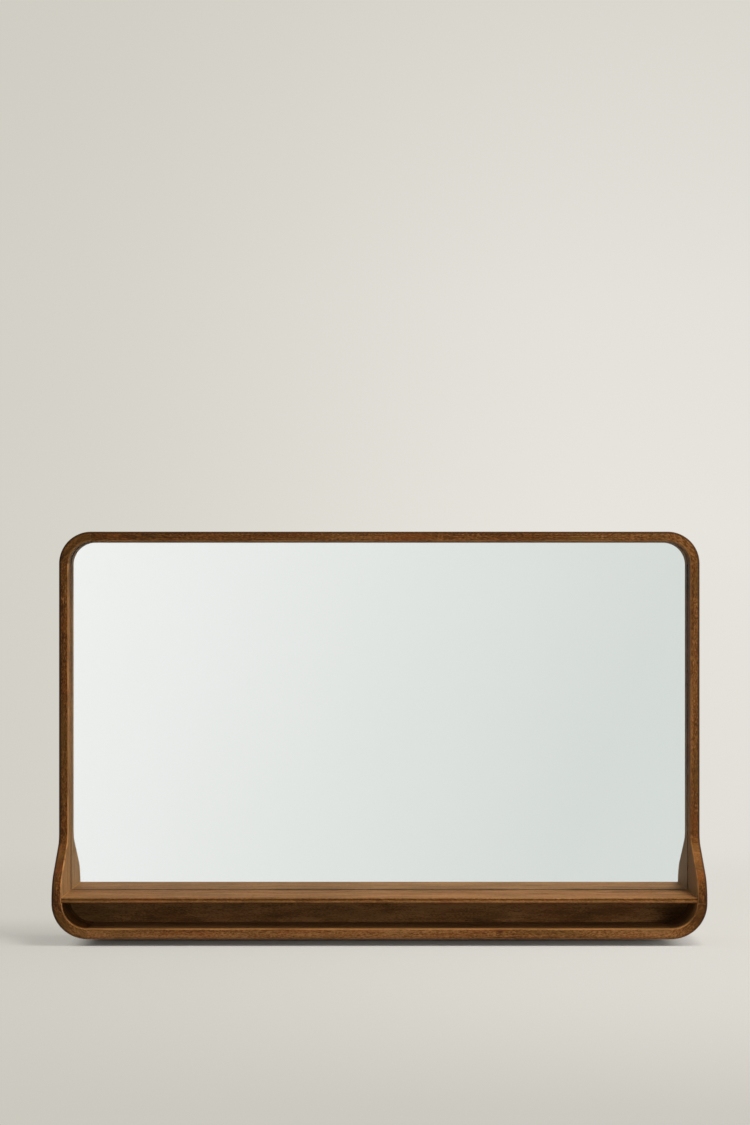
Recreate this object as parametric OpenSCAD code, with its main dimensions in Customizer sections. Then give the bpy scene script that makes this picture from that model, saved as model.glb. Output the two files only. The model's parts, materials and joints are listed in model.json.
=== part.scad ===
// Mirror in a solid wood frame, with a shelf and an open niche under the glass.
// Millimetres. X runs to the right, Y to the back, Z up, and the front faces -Y.
// The origin is the middle of the footprint, on the surface that the frame stands on.

/* [Frame] */
// Width over both sides
frame_w = 800; // [700:10:1100]
// Height from the base to the top
frame_h = 500; // [420:10:800]
// Depth of the wood at the base
base_d = 116; // [96:1:150]
// Depth of the wood round the mirror
upper_d = 40; // [36:1:56]
// Thickness of the sides, the top and the upper corners
wall = 12; // [11.5:0.5:16]
// Thickness of the bottom board and the lower corners
base_t = 13; // [11:0.5:18]
// Outer radius of the upper corners
top_r = 40; // [32:1:60]
// Outer radius of the lower corners
base_r = 44; // [36:1:60]
// Rounding of the outer front edge
outer_arris = 3; // [1:0.5:5]
// Rounding of the inner front edge
inner_arris = 1.5; // [0.5:0.5:4]

/* [Cheeks] */
// Height of the cheek's upright front edge over the lower corner
cheek_upright = 4.5; // [1:0.5:30]
// Height over which the cheek sweeps back to the frame
cheek_rise = 75; // [70:1:110]
// Radius of the round nose of the sweep
nose_r = 35; // [20:1:40]
// Radius of the hollow at the top of the sweep
hollow_r = 15; // [8:1:20]

/* [Shelf and niche] */
// Height of the niche's upright ends over the curve of the lower corners
niche_upright = 0; // [0:1:40]
// Thickness of the shelf board
shelf_t = 6.5; // [5:0.5:12]
// Distance of the shelf's front edge behind the cheeks' front edge
shelf_set_back = 1.5; // [0:0.5:6]
// Rounding of the shelf's front edges
shelf_arris = 2; // [0.5:0.5:2.4]
// Depth of the housing that takes the shelf's end
housing_d = 3; // [2:0.5:3.5]
// Distance from the front edge at which the housing stops
housing_stop = 14; // [8:1:24]

/* [Mirror] */
// Thickness of the mirror glass
glass_t = 4; // [3:0.5:6]
// Thickness of the foam tape behind the glass
tape_t = 1; // [0.8:0.2:2]
// Width of a strip of foam tape
tape_w = 25; // [12:1:40]
// Thickness of the backing board
board_t = 9; // [8:0.5:14]
// Width of the rebate that holds the glass and the board
rebate_w = 4; // [3:0.5:5]
// Gap between the glass and the wood round it
glass_gap = 0.5; // [0.2:0.1:1.5]
// Gap between the backing board and the wood round it
board_gap = 1; // [0.5:0.1:2]

/* [Dowels and base screws] */
// Diameter of a dowel
dowel_d = 5; // [4:0.5:6]
// Length of a dowel
dowel_l = 25; // [22:1:35]
// Length of the dowel that sits in the corner block
dowel_in_corner = 10; // [8:0.5:11]
// Distance of the dowels from the outer face of the wood
dowel_inset = 5.5; // [5:0.5:6]
// Shank diameter of a base screw
base_screw_d = 4; // [3:0.5:5]
// Length of a base screw
base_screw_l = 38; // [30:1:42]
// Distance of the outer base screws from the sides
base_screw_in = 80; // [70:5:160]

/* [Hangers] */
// Distance of the keyholes from the sides
hanger_in = 120; // [100:5:150]
// Distance of the keyhole's entry below the frame's top
hanger_drop = 56; // [50:1:90]
// Height of a hanger plate
plate_h = 50; // [46:1:60]
// Width of a hanger plate
plate_w = 20; // [16:1:30]
// Thickness of a hanger plate
plate_t = 2; // [1.5:0.5:3]
// Diameter of the keyhole's entry
keyhole_d = 10; // [8:0.5:12]
// Width of the keyhole's slot
slot_w = 5; // [4:0.5:6]
// Height of the slot's end over the keyhole's entry
slot_rise = 11; // [8:1:13]
// Depth of the pocket behind a hanger plate
pocket_d = 5.5; // [4:0.5:6]

/* [Turn buttons] */
// Length of a turn button
button_l = 26; // [22:1:34]
// Width of a turn button
button_w = 7.5; // [6:0.5:7.5]
// Thickness of a turn button
button_t = 1.5; // [1:0.1:1.8]
// Distance of the top and bottom turn buttons from the sides
button_in = 210; // [160:10:300]
// Height of the side turn buttons over the shelf's underside
button_rise = 226; // [120:2:300]
// Shank diameter of a button screw
button_screw_d = 3; // [2:0.5:3.5]
// Length of a button screw's shank
button_screw_l = 14; // [10:1:20]

/* [Wall pads] */
// Thickness of a wall pad
pad_t = 4; // [4:0.5:8]
// Diameter of a wall pad
pad_d = 14; // [10:1:20]
// Distance of the wall pads from the sides
pad_in = 65; // [60:5:100]
// Distance of the upper wall pads below the frame's top
pad_drop = 70; // [50:5:150]

/* [Hidden] */
$fn = 64;

// How far a cut runs past the face that it opens
cut = 1;
// Clearance round a dowel or a fixed screw in its hole
peg_gap = 0.05;
// Clearance between wood pieces that slide into each other before they are glued
glue_gap = 0.1;
// Running clearance round a button screw, and over and under a turn button
run_gap = 0.08;

// Where the wood lies
half_w = frame_w / 2;
front_y = -(base_d + pad_t) / 2;
back_y = front_y + base_d;
upper_y = back_y - upper_d;
side_x = half_w - wall;
top_run = frame_w - 2 * top_r;
base_run = frame_w - 2 * base_r;
upper_corner_z = frame_h - top_r;
shelf_z = base_r + niche_upright;
rail_h = shelf_z - base_t;

// Where the layers behind the opening lie
rebate_d = glass_t + tape_t + board_t;
glass_y = back_y - rebate_d;
tape_y = glass_y + glass_t;
board_y = tape_y + tape_t;
lip = wall - rebate_w;

// The cheek's front edge: upright, round nose, straight slope, hollow, upright
cheek_low = base_r + cheek_upright;
cheek_top = cheek_low + cheek_rise;
sweep_y = upper_y - front_y - nose_r - hollow_r;
sweep_l = sqrt(pow(sweep_y, 2) + pow(cheek_rise, 2));
slope_l = sqrt(pow(sweep_l, 2) - pow(nose_r + hollow_r, 2));
slope_a = atan2(sweep_y, cheek_rise) + asin((nose_r + hollow_r) / sweep_l);

// The cheek's rounded edge is a band of this depth, and its plain core starts inside the band
band_d = 6;
core_in = 5;
// Steps of the core's hidden outline round each bend
core_steps = 4;
// The slope's band laps into both bends, and lies a hair inside them all round so that they meet cleanly
slope_lap = 0.5;
slope_ease = 0.02;

// The shelf
shelf_y = front_y + shelf_set_back;
shelf_d = glass_y - glass_gap - shelf_y;
shelf_half = side_x - glue_gap;

// Dowels beside the mirror, and along the deep joints of the lower corners
upper_dowels_y = [upper_y + (upper_d - rebate_d) / 4, glass_y - (upper_d - rebate_d) / 4];
dowel_margin = 12;
lower_dowel_n = 4;
lower_dowel_step = (glass_y - front_y - 2 * dowel_margin) / (lower_dowel_n - 1);
lower_dowels_y = [for (i = [0 : lower_dowel_n - 1]) front_y + dowel_margin + i * lower_dowel_step];

// Base screws, in the middle of the lower rail's depth
base_screws_x = [for (i = [-3 : 2 : 3]) i / 3 * (half_w - base_screw_in)];
base_screw_y = back_y - upper_d / 2;
// Depth of a countersunk head below the face round it
head_recess = 0.2;

// Hangers
hanger_x = half_w - hanger_in;
hanger_z = frame_h - hanger_drop;
// Height of a plate's middle over the keyhole's entry
plate_rise = 4;
plate_corner = 4;
// Distance of the plate's screws from its ends
plate_screw_in = 6;
plate_screws_z = [for (s = [-1, 1]) hanger_z + plate_rise + s * (plate_h / 2 - plate_screw_in)];
plate_screw_d = 3;
plate_screw_l = 7;

// Turn buttons: name's place in X and Z, and the way each one points
button_pivot = lip / 2;
button_drop = 6;
button_x = half_w - button_in;
button_places = [
    [[-button_x, frame_h - button_pivot], -90],
    [[button_x, frame_h - button_pivot], -90],
    [[-half_w + button_pivot, shelf_z + button_rise], 0],
    [[half_w - button_pivot, shelf_z + button_rise], 180],
    [[-button_x, shelf_z - button_drop], 90],
    [[button_x, shelf_z - button_drop], 90]
];
button_y = back_y + run_gap;
pan_head_t = 1.8;
pan_head_d = 6;

// Wall pads, two on the backing board and two on the lower rail
pad_chamfer = 0.8;
pad_places = [for (s = [-1, 1], z = [frame_h - pad_drop, base_t + rail_h / 2]) [s * (half_w - pad_in), z]];

// Foam strips
tape_n = 5;
tape_end = 25;

// Colours of the finishes
WOOD = "#6e4a2c";
WOOD_LIGHT = "#8c6746";
WOOD_DARK = "#5a3b20";
MIRROR = "#dfe4e0";
FOAM = "#f2f2ee";
FIBREBOARD = "#8a6f50";
BEECH = "#d2b48c";
STEEL = "#b9bcc0";
RUBBER = "#3a3a3a";

// ------------------------------------------------------------ outlines

// What a rounding of radius r takes off a corner: the round starts at the origin, the corner is at [r, 0]
module corner_waste(r) {
    difference() {
        translate([0, -cut])
            square(r + cut);
        translate([0, r])
            circle(r = r);
    }
}

// Section of a member: the outer face lies at x = 0 and the front at y = 0, with both front edges round
module member_section(t, d, outer_r = outer_arris, inner_r = inner_arris) {
    difference() {
        translate([-t, 0])
            square([t, d]);
        translate([-outer_r, 0])
            corner_waste(outer_r);
        translate([inner_r - t, 0])
            mirror([1, 0])
                corner_waste(inner_r);
    }
}

// Section beside the mirror, with the rebate cut out of its inner back edge
module upper_section() {
    difference() {
        member_section(wall, upper_d);
        translate([-wall - cut, upper_d - rebate_d])
            square([rebate_w + cut, rebate_d + cut]);
    }
}

// Outline of the glass or the board in its rebate, with a gap round it
module pane_outline(gap) {
    pane_x = side_x + rebate_w - gap;
    pane_z = frame_h - lip - gap;
    pane_r = top_r - lip - gap;
    difference() {
        translate([-pane_x, shelf_z])
            square([2 * pane_x, pane_z - shelf_z]);
        for (s = [0, 1])
            mirror([s, 0])
                translate([pane_x - pane_r, pane_z])
                    mirror([0, 1])
                        corner_waste(pane_r);
    }
}

// Outline drawn in X and Z, made d thick from y towards the back
module upright_plate(y, d) {
    translate([0, y + d, 0])
        rotate([90, 0, 0])
            linear_extrude(d)
                children();
}

// ------------------------------------------------------------ holes and pegs

// Round hole or peg along X, from x to x + l
module bar_x(x, y, z, d, l) {
    translate([x, y, z])
        rotate([0, 90, 0])
            cylinder(d = d, h = l);
}

// Round hole or peg along Z, from z to z + l
module bar_z(x, y, z, d, l) {
    translate([x, y, z])
        cylinder(d = d, h = l);
}

// Round hole or peg along Y, from y to y + l
module bar_y(x, y, z, d, l) {
    translate([x, y, z])
        rotate([-90, 0, 0])
            cylinder(d = d, h = l);
}

// Dowels, or their holes when made thicker, between the top rail and the right upper corner
module dowels_to_top_rail(d) {
    for (y = upper_dowels_y)
        bar_x(half_w - top_r + dowel_in_corner - dowel_l, y, frame_h - dowel_inset, d, dowel_l);
}

// Dowels between the right side and the right upper corner
module dowels_to_side_top(d) {
    for (y = upper_dowels_y)
        bar_z(half_w - dowel_inset, y, upper_corner_z + dowel_in_corner - dowel_l, d, dowel_l);
}

// Dowels between the right side and the right lower corner
module dowels_to_side_foot(d) {
    for (y = lower_dowels_y)
        bar_z(half_w - dowel_inset, y, base_r - dowel_in_corner, d, dowel_l);
}

// Dowels between the bottom board and the right lower corner
module dowels_to_bottom_board(d) {
    for (y = lower_dowels_y)
        bar_x(half_w - base_r + dowel_in_corner - dowel_l, y, dowel_inset, d, dowel_l);
}

// The same on both sides
module both_sides() {
    children();
    mirror([1, 0, 0])
        children();
}

// Holes for all base screws through the bottom board and up into the lower rail
module base_screw_holes() {
    for (x = base_screws_x)
        bar_z(x, base_screw_y, -cut, base_screw_d + 2 * peg_gap, base_screw_l + cut + glue_gap);
}

// Holes for the button screws in the wood
module button_screw_holes() {
    for (b = button_places)
        bar_y(b[0][0], back_y - button_screw_l - glue_gap, b[0][1], button_screw_d + 2 * peg_gap,
            button_screw_l + glue_gap + cut);
}

// Countersunk screw with its head's face at the origin, pointing along +Z
module countersunk_screw(d, l) {
    head_h = d / 2;
    difference() {
        union() {
            cylinder(d1 = 2 * d, d2 = d, h = head_h);
            cylinder(d = d, h = l);
        }
        cross_recess(d * 0.9);
    }
}

// Cross recess, w across, cut into a screw head from below
module cross_recess(w) {
    slot_t = w / 4;
    for (a = [0, 90])
        rotate(a)
            translate([-w / 2, -slot_t / 2, -cut])
                cube([w, slot_t, cut + w / 3]);
}

// Countersunk hole's mouth, its face at the origin and its cone along +Z
module countersink(d) {
    translate([0, 0, -cut])
        cylinder(d = 2 * d + 2 * peg_gap, h = cut + head_recess);
    translate([0, 0, head_recess])
        cylinder(d1 = 2 * d + 2 * peg_gap, d2 = d + 2 * peg_gap, h = d / 2);
}

// ------------------------------------------------------------ wood

module top_rail() {
    color(WOOD)
        difference() {
            translate([top_run / 2, upper_y, frame_h])
                rotate([0, -90, 0])
                    linear_extrude(top_run)
                        upper_section();
            both_sides()
                dowels_to_top_rail(dowel_d + 2 * peg_gap);
            button_screw_holes();
        }
}

module right_upper_corner() {
    color(WOOD)
        difference() {
            translate([half_w - top_r, upper_y, upper_corner_z])
                rotate([-90, 0, 0])
                    rotate([0, 0, -90])
                        rotate_extrude(angle = 90)
                            translate([top_r, 0])
                                upper_section();
            dowels_to_top_rail(dowel_d + 2 * peg_gap);
            dowels_to_side_top(dowel_d + 2 * peg_gap);
        }
}

module top_right_corner() {
    right_upper_corner();
}

module top_left_corner() {
    mirror([1, 0, 0])
        right_upper_corner();
}

module right_lower_corner() {
    color(WOOD)
        difference() {
            translate([half_w - base_r, front_y, base_r])
                rotate([-90, 0, 0])
                    rotate_extrude(angle = 90)
                        translate([base_r, 0])
                            member_section(base_t, base_d);
            dowels_to_side_foot(dowel_d + 2 * peg_gap);
            dowels_to_bottom_board(dowel_d + 2 * peg_gap);
        }
}

module bottom_right_corner() {
    right_lower_corner();
}

module bottom_left_corner() {
    mirror([1, 0, 0])
        right_lower_corner();
}

module bottom_board() {
    color(WOOD_LIGHT)
        difference() {
            translate([-base_run / 2, front_y, 0])
                rotate([0, 90, 0])
                    linear_extrude(base_run)
                        member_section(base_t, base_d);
            both_sides()
                dowels_to_bottom_board(dowel_d + 2 * peg_gap);
            base_screw_holes();
            for (x = base_screws_x)
                translate([x, base_screw_y, 0])
                    countersink(base_screw_d);
        }
}

// Points round a bend of the core, in Y and Z, from angle a0 to a1 off the centre's front
function bend(centre, r, a0, a1) = [for (i = [0 : core_steps])
    let (a = a0 + (a1 - a0) * i / core_steps) centre + r * [-cos(a), sin(a)]];

// Centres of the nose and of the hollow, in Y and Z
nose_at = [front_y + nose_r, cheek_low];
hollow_at = [upper_y - hollow_r, cheek_top];

// Plain core of the right side, inside its rounded front edge
module side_core() {
    translate([side_x, 0, 0])
        rotate([90, 0, 90])
            linear_extrude(wall)
                polygon(concat(
                    [[front_y + core_in, base_r]],
                    bend(nose_at, nose_r - core_in, 0, slope_a),
                    bend(hollow_at, hollow_r + core_in, 180 + slope_a, 180),
                    [[upper_y + core_in, upper_corner_z], [back_y, upper_corner_z], [back_y, base_r]]
                ));
}

// The right side's front edge, swept up the cheek
module side_edge() {
    // Upright foot
    translate([half_w, front_y, base_r])
        linear_extrude(cheek_upright)
            member_section(wall, band_d);
    // Round nose
    translate([half_w, nose_at[0], nose_at[1]])
        mirror([1, 0, 0])
            rotate([90, 0, -90])
                rotate_extrude(angle = slope_a)
                    translate([nose_r, 0])
                        rotate(90)
                            member_section(wall, band_d);
    // Straight slope
    translate([half_w, nose_at[0] - nose_r * cos(slope_a), nose_at[1] + nose_r * sin(slope_a)])
        rotate([-slope_a, 0, 0])
            translate([-slope_ease, slope_ease, -slope_lap])
                linear_extrude(slope_l + 2 * slope_lap)
                    member_section(wall - 2 * slope_ease, band_d);
    // Hollow
    translate([half_w, hollow_at[0], hollow_at[1]])
        mirror([1, 0, 0])
            rotate([-90, 0, 90])
                rotate_extrude(angle = slope_a)
                    translate([hollow_r, 0])
                        mirror([1, -1])
                            member_section(wall, band_d);
    // Upright edge beside the mirror
    translate([half_w, upper_y, cheek_top])
        linear_extrude(upper_corner_z - cheek_top)
            member_section(wall, band_d);
}

module right_panel() {
    color(WOOD)
        difference() {
            union() {
                side_core();
                side_edge();
            }
            // Rebate for the glass and the backing board
            translate([side_x - cut, glass_y, base_r - cut])
                cube([rebate_w + cut, rebate_d + cut, upper_corner_z - base_r + 2 * cut]);
            // Stopped housing for the shelf's end
            translate([side_x - cut, front_y + housing_stop - glue_gap, shelf_z])
                cube([housing_d + cut, glass_y - front_y - housing_stop + glue_gap + cut, shelf_t + glue_gap]);
            dowels_to_side_top(dowel_d + 2 * peg_gap);
            dowels_to_side_foot(dowel_d + 2 * peg_gap);
            button_screw_holes();
        }
}

module right_side() {
    right_panel();
}

module left_side() {
    mirror([1, 0, 0])
        right_panel();
}

module shelf_board() {
    tongue_x = side_x + housing_d - glue_gap;
    color(WOOD_LIGHT)
        union() {
            translate([shelf_half, shelf_y, shelf_z + shelf_t])
                rotate([0, -90, 0])
                    linear_extrude(2 * shelf_half)
                        member_section(shelf_t, shelf_d, shelf_arris, shelf_arris);
            translate([-tongue_x, front_y + housing_stop, shelf_z])
                cube([2 * tongue_x, shelf_y + shelf_d - front_y - housing_stop, shelf_t]);
        }
}

module lower_rail() {
    rail_x = half_w - base_t - glue_gap;
    color(WOOD_DARK)
        difference() {
            upright_plate(upper_y, upper_d)
                difference() {
                    translate([-rail_x, base_t])
                        square([2 * rail_x, rail_h]);
                    for (s = [0, 1])
                        mirror([s, 0])
                            translate([rail_x - base_r + base_t, base_t])
                                corner_waste(base_r - base_t);
                }
            base_screw_holes();
            button_screw_holes();
        }
}

// ------------------------------------------------------------ mirror

module mirror_glass() {
    color(MIRROR)
        upright_plate(glass_y, glass_t)
            pane_outline(glass_gap);
}

module foam_tapes() {
    tape_span = 2 * (side_x - tape_end) - tape_w;
    color(FOAM)
        for (i = [0 : tape_n - 1])
            translate([i / (tape_n - 1) * tape_span - tape_span / 2 - tape_w / 2, tape_y, base_r + tape_end])
                cube([tape_w, tape_t, frame_h - wall - 2 * tape_end - base_r]);
}

// Recess and pocket for one hanger, at x
module hanger_mortise(x) {
    plate_y = back_y - plate_t;
    translate([x, 0, 0])
        upright_plate(plate_y, plate_t + cut)
            plate_outline(glue_gap);
    bar_y(x, plate_y - pocket_d, hanger_z, keyhole_d, pocket_d + cut);
    bar_y(x, plate_y - pocket_d, hanger_z + slot_rise, keyhole_d, pocket_d + cut);
    translate([x - keyhole_d / 2, plate_y - pocket_d, hanger_z])
        cube([keyhole_d, pocket_d + cut, slot_rise]);
    for (z = plate_screws_z)
        bar_y(x, back_y - plate_screw_l - glue_gap, z, plate_screw_d + 2 * peg_gap, plate_screw_l);
}

module backing_board() {
    color(FIBREBOARD)
        difference() {
            upright_plate(board_y, board_t)
                pane_outline(board_gap);
            for (s = [-1, 1])
                hanger_mortise(s * hanger_x);
        }
}

// ------------------------------------------------------------ hangers

// Outline of a hanger plate in X and Z, grown all round by grow
module plate_outline(grow) {
    x = plate_w / 2 + grow;
    z = plate_h / 2 + grow;
    r = plate_corner + grow;
    translate([0, hanger_z + plate_rise])
        difference() {
            translate([-x, -z])
                square([2 * x, 2 * z]);
            for (sx = [0, 1], sz = [0, 1])
                mirror([sx, 0])
                    mirror([0, sz])
                        translate([x - r, -z])
                            corner_waste(r);
        }
}

module hanger(x) {
    plate_y = back_y - plate_t;
    color(STEEL)
        difference() {
            translate([x, 0, 0])
                upright_plate(plate_y, plate_t)
                    plate_outline(0);
            bar_y(x, plate_y - cut, hanger_z, keyhole_d, plate_t + 2 * cut);
            bar_y(x, plate_y - cut, hanger_z + slot_rise, slot_w, plate_t + 2 * cut);
            translate([x - slot_w / 2, plate_y - cut, hanger_z])
                cube([slot_w, plate_t + 2 * cut, slot_rise]);
            for (z = plate_screws_z) {
                bar_y(x, plate_y - cut, z, plate_screw_d + 2 * peg_gap, plate_t + 2 * cut);
                translate([x, back_y, z])
                    rotate([90, 0, 0])
                        countersink(plate_screw_d);
            }
        }
}

module left_hanger() {
    hanger(-hanger_x);
}

module right_hanger() {
    hanger(hanger_x);
}

module hanger_screws() {
    color(STEEL)
        for (s = [-1, 1], z = plate_screws_z)
            translate([s * hanger_x, back_y - head_recess, z])
                rotate([90, 0, 0])
                    countersunk_screw(plate_screw_d, plate_screw_l - head_recess);
}

// ------------------------------------------------------------ dowels, screws, buttons and pads

module upper_dowels() {
    color(BEECH)
        both_sides() {
            dowels_to_top_rail(dowel_d);
            dowels_to_side_top(dowel_d);
        }
}

module lower_dowels() {
    color(BEECH)
        both_sides() {
            dowels_to_side_foot(dowel_d);
            dowels_to_bottom_board(dowel_d);
        }
}

module base_screws() {
    color(STEEL)
        for (x = base_screws_x)
            translate([x, base_screw_y, head_recess])
                countersunk_screw(base_screw_d, base_screw_l - head_recess);
}

// Turn button at one of the button places
module turn_button(place) {
    color(STEEL)
        translate([place[0][0], button_y, place[0][1]])
            rotate([0, -place[1], 0])
                difference() {
                    union() {
                        bar_y(0, 0, 0, button_w, button_t);
                        bar_y(button_l - button_w, 0, 0, button_w, button_t);
                        translate([0, 0, -button_w / 2])
                            cube([button_l - button_w, button_t, button_w]);
                    }
                    bar_y(0, -cut, 0, button_screw_d + 2 * run_gap, button_t + 2 * cut);
                }
}

module top_left_button() {
    turn_button(button_places[0]);
}

module top_right_button() {
    turn_button(button_places[1]);
}

module left_button() {
    turn_button(button_places[2]);
}

module right_button() {
    turn_button(button_places[3]);
}

module bottom_left_button() {
    turn_button(button_places[4]);
}

module bottom_right_button() {
    turn_button(button_places[5]);
}

module button_screws() {
    head_y = button_y + button_t + run_gap;
    color(STEEL)
        for (b = button_places)
            difference() {
                union() {
                    bar_y(b[0][0], head_y, b[0][1], pan_head_d, pan_head_t);
                    bar_y(b[0][0], back_y - button_screw_l, b[0][1], button_screw_d,
                        button_screw_l + head_y - back_y);
                }
                translate([b[0][0], head_y + pan_head_t, b[0][1]])
                    rotate([90, 0, 0])
                        cross_recess(button_screw_d);
            }
}

module wall_pads() {
    color(RUBBER)
        for (p = pad_places) {
            bar_y(p[0], back_y, p[1], pad_d, pad_t - pad_chamfer);
            translate([p[0], back_y + pad_t - pad_chamfer, p[1]])
                rotate([-90, 0, 0])
                    cylinder(d1 = pad_d, d2 = pad_d - 2 * pad_chamfer, h = pad_chamfer);
        }
}

// ------------------------------------------------------------ what is drawn

top_rail();
left_side();
right_side();
top_left_corner();
top_right_corner();
bottom_left_corner();
bottom_right_corner();
bottom_board();
shelf_board();
lower_rail();
mirror_glass();
foam_tapes();
backing_board();
upper_dowels();
lower_dowels();
base_screws();
left_hanger();
right_hanger();
hanger_screws();
top_left_button();
top_right_button();
left_button();
right_button();
bottom_left_button();
bottom_right_button();
button_screws();
wall_pads();
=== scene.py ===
# %% [markdown]
# # A wall mirror with a shelf
#
# The object is a wide mirror in a solid wood frame with round corners. Its sides sweep forward at the
# foot in an S-curve, and carry a thin shelf over a long, open niche.
#
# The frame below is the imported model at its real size. This lesson models the wood, the glass and the
# turn buttons again with the tools of edit mode, softens copies of the small parts, and gives every
# piece a finish made of nodes. Lengths are in metres. X runs to the right, Y to the back and Z up.

import json
from math import asin, atan2, hypot, pi, radians, tan

import bmesh
import bpy
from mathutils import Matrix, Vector


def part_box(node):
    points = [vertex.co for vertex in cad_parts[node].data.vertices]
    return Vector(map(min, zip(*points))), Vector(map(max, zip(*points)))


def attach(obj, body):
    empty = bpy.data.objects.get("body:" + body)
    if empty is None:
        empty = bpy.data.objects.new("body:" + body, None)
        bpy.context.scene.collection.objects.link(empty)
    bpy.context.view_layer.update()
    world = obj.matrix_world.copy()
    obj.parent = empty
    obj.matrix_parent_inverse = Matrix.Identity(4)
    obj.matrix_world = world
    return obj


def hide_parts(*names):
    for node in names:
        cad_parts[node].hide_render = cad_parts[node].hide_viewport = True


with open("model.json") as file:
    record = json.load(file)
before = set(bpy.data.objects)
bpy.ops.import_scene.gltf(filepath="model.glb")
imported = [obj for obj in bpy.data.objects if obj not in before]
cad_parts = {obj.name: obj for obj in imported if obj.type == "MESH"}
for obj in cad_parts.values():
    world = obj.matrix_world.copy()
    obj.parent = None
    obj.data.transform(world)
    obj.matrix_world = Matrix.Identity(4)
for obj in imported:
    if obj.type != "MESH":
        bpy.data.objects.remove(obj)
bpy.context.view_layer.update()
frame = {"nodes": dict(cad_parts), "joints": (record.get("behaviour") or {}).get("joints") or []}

# %% [markdown]
# ## Sizes
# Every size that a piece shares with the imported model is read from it, so that each new piece lies
# where the node that it stands for lies. Only the rebate's width and the roundings are written here
# as numbers, because no box gives them.

# %% Sizes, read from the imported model
MM = 0.001
side_low, side_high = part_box("right_side")
rail_low, rail_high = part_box("top_rail")
board_low, board_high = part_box("bottom_board")
shelf_low, shelf_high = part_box("shelf_board")
lower_low, lower_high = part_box("lower_rail")
glass_low, glass_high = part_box("mirror_glass")

HALF_W = side_high.x
TOP_Z = rail_high.z
FRONT_Y = board_low.y
BACK_Y = board_high.y
UPPER_Y = rail_low.y
GLASS_Y = glass_low.y
WALL = side_high.x - side_low.x
BASE_T = board_high.z - board_low.z
TOP_R = HALF_W - rail_high.x
BASE_R = HALF_W - board_high.x
REBATE_W = 4 * MM
LIP = WALL - REBATE_W

OUTER_ROUND = 3 * MM
INNER_ROUND = 1.5 * MM
BACK_ROUND = 0.6 * MM
JOINT_ROUND = 0.15 * MM
print(f"frame {2 * HALF_W:.3f} x {BACK_Y - FRONT_Y:.3f} x {TOP_Z:.3f} m, wood {WALL / MM:.1f} mm thick")

# %% [markdown]
# ## Camera
# The photograph is taken square to the mirror, from a little over three metres, with the camera level
# and at three quarters of the mirror's height. A camera that is tilted up would make the upright edges
# lean, so the lens is shifted instead, and the object stands low in the frame.

# %% Camera
PHOTO_H = 1125
FOCAL_PX = 2567.3
HORIZON_PX = 71.8
SENSOR = 36
CAMERA_AT = (-0.0054, -3.1876, 0.3718)

bpy.ops.object.camera_add(location=CAMERA_AT, rotation=(pi / 2, 0, 0))
camera = bpy.context.object
camera.data.sensor_width = SENSOR
camera.data.lens = FOCAL_PX * SENSOR / PHOTO_H
camera.data.shift_y = HORIZON_PX / PHOTO_H
bpy.context.scene.camera = camera
print(f"lens {camera.data.lens:.1f} mm, shift {camera.data.shift_y:.3f}")

# %% [markdown]
# ## Helpers for modelling
# Each piece starts as a primitive at its place, and is then shaped in edit mode. An operator acts on all
# that is selected, so `rest` clears the selection first, and `pick` selects vertices, edges or faces by
# a test on their place. That is what a hand with a mouse does, but it gives the same result each time.

# %% Helpers that start a piece
NEAR = 1e-6


def rest():
    """Goes back to object mode and selects nothing."""
    if bpy.context.object and bpy.context.object.mode != "OBJECT":
        bpy.ops.object.mode_set(mode="OBJECT")
    bpy.ops.object.select_all(action="DESELECT")


def begin(name):
    """Names the new primitive, puts its place into its mesh and opens it in edit mode."""
    piece = bpy.context.object
    piece.name = name
    bpy.ops.object.transform_apply(location=True, rotation=True, scale=True)
    bpy.ops.object.mode_set(mode="EDIT")
    bpy.ops.mesh.select_all(action="SELECT")
    return piece


def block(name, low, high):
    """A cube brought to its size and place."""
    rest()
    low, high = Vector(low), Vector(high)
    bpy.ops.mesh.primitive_cube_add(size=1, location=(low + high) / 2)
    bpy.context.object.scale = high - low
    return begin(name)


def sheet(name, low, high):
    """A plane across X between two corners."""
    rest()
    low, high = Vector(low), Vector(high)
    bpy.ops.mesh.primitive_plane_add(size=1, location=(low + high) / 2, rotation=(0, pi / 2, 0))
    bpy.context.object.scale = (high.z - low.z, high.y - low.y, 1)
    return begin(name)


def rod(name, at, radius, length, sides=32):
    """A cylinder along Y, from its front face at the given place."""
    rest()
    centre = Vector(at) + Vector((0, length / 2, 0))
    bpy.ops.mesh.primitive_cylinder_add(vertices=sides, radius=radius, depth=length, location=centre,
                                        rotation=(pi / 2, 0, 0))
    return begin(name)


# %% Helpers that find vertices, edges and faces


def pick(piece, kind, test):
    """Selects the vertices, edges or faces that pass the test."""
    bpy.ops.mesh.select_mode(type=kind)
    bpy.ops.mesh.select_all(action="DESELECT")
    mesh = bmesh.from_edit_mesh(piece.data)
    parts = {"VERT": mesh.verts, "EDGE": mesh.edges, "FACE": mesh.faces}[kind]
    for part in [part for part in parts if test(part)]:
        part.select_set(True)
    mesh.select_flush_mode()
    bmesh.update_edit_mesh(piece.data)


def middle(part):
    """Middle of an edge or a face."""
    return sum((v.co for v in part.verts), Vector()) / len(part.verts)


def near(a, b):
    """True for two lengths that differ by less than a thousandth of a millimetre."""
    return abs(a - b) < NEAR


def runs(edge, axis):
    """True for an edge that runs along an axis."""
    way = edge.verts[1].co - edge.verts[0].co
    return abs(way[axis]) > NEAR and near(way.length, abs(way[axis]))


def in_plane(part, axis, value):
    """True for an edge or a face that lies in a plane across the axis."""
    return all(near(v.co[axis], value) for v in part.verts)


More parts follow.
